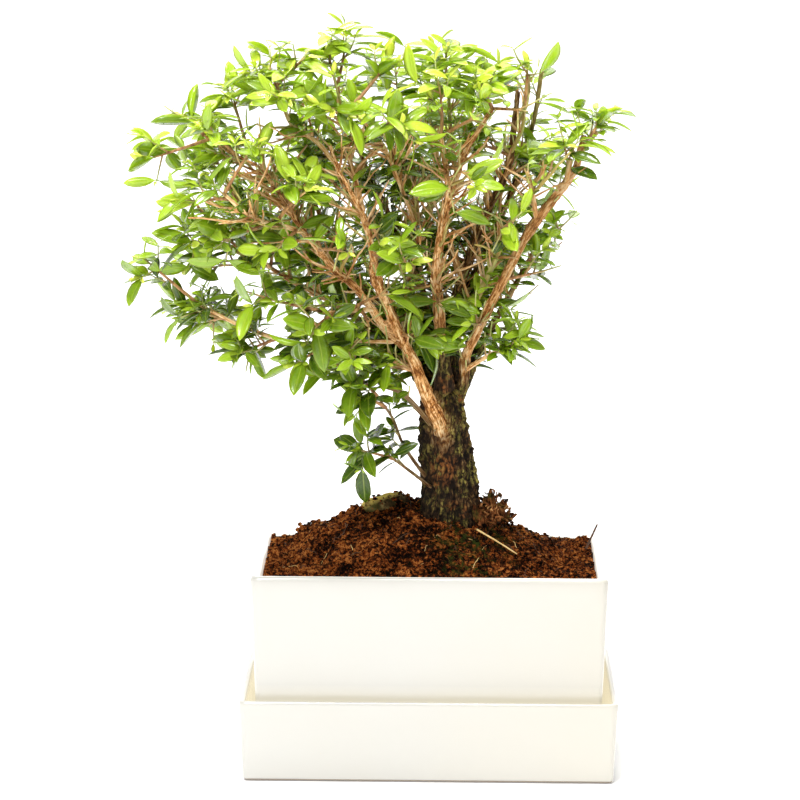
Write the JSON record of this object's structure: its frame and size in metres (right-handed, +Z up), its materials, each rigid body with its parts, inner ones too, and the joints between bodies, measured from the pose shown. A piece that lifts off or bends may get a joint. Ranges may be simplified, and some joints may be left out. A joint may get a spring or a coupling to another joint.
{
  "type": "serissa bonsai in a pot",
  "caption": "Broad, many-limbed miniature serissa tree growing from heaped soil in a rectangular glazed pot that stands in its own deep saucer.",
  "frame": {"origin": "middle of the saucer's flat underside", "axes": "+Z up along the tree, +X along the pot's long side to the right in the front view, -Y towards the viewer"},
  "size_m": [0.2551, 0.1834, 0.3785],
  "materials": {
    "glaze": "gloss",
    "soil": "matte",
    "bark": "matte",
    "stone": "matte",
    "straw": "matte",
    "leaf": "satin",
    "young_leaf": "satin"
  },
  "bodies": {
    "root": {"saucer": "glaze", "pot": "glaze", "soil": "soil", "trunk": "bark", "stone": "stone", "straw": "straw", "stick": "bark", "spray_01": "young_leaf", "spray_02": "leaf", "spray_03": "leaf", "spray_04": "young_leaf", "spray_05": "leaf", "spray_06": "leaf", "spray_07": "young_leaf", "spray_08": "leaf", "spray_09": "leaf", "spray_10": "young_leaf", "spray_11": "leaf", "spray_12": "leaf", "spray_13": "young_leaf", "spray_14": "leaf", "spray_15": "leaf", "spray_16": "young_leaf", "spray_17": "leaf", "spray_18": "leaf", "spray_19": "young_leaf", "spray_20": "leaf", "spray_21": "leaf", "spray_22": "young_leaf", "spray_23": "leaf", "spray_24": "leaf", "spray_25": "young_leaf", "spray_26": "leaf", "spray_27": "leaf", "spray_28": "young_leaf", "spray_29": "leaf", "spray_30": "leaf", "spray_31": "young_leaf", "spray_32": "leaf", "spray_33": "leaf", "spray_34": "young_leaf", "spray_35": "leaf", "spray_36": "leaf", "spray_37": "young_leaf", "spray_38": "leaf", "spray_39": "leaf", "spray_40": "young_leaf", "spray_41": "leaf", "spray_42": "leaf", "spray_43": "young_leaf", "spray_44": "leaf", "spray_45": "leaf", "spray_46": "young_leaf", "spray_47": "leaf"}
  },
  "joints": []
}
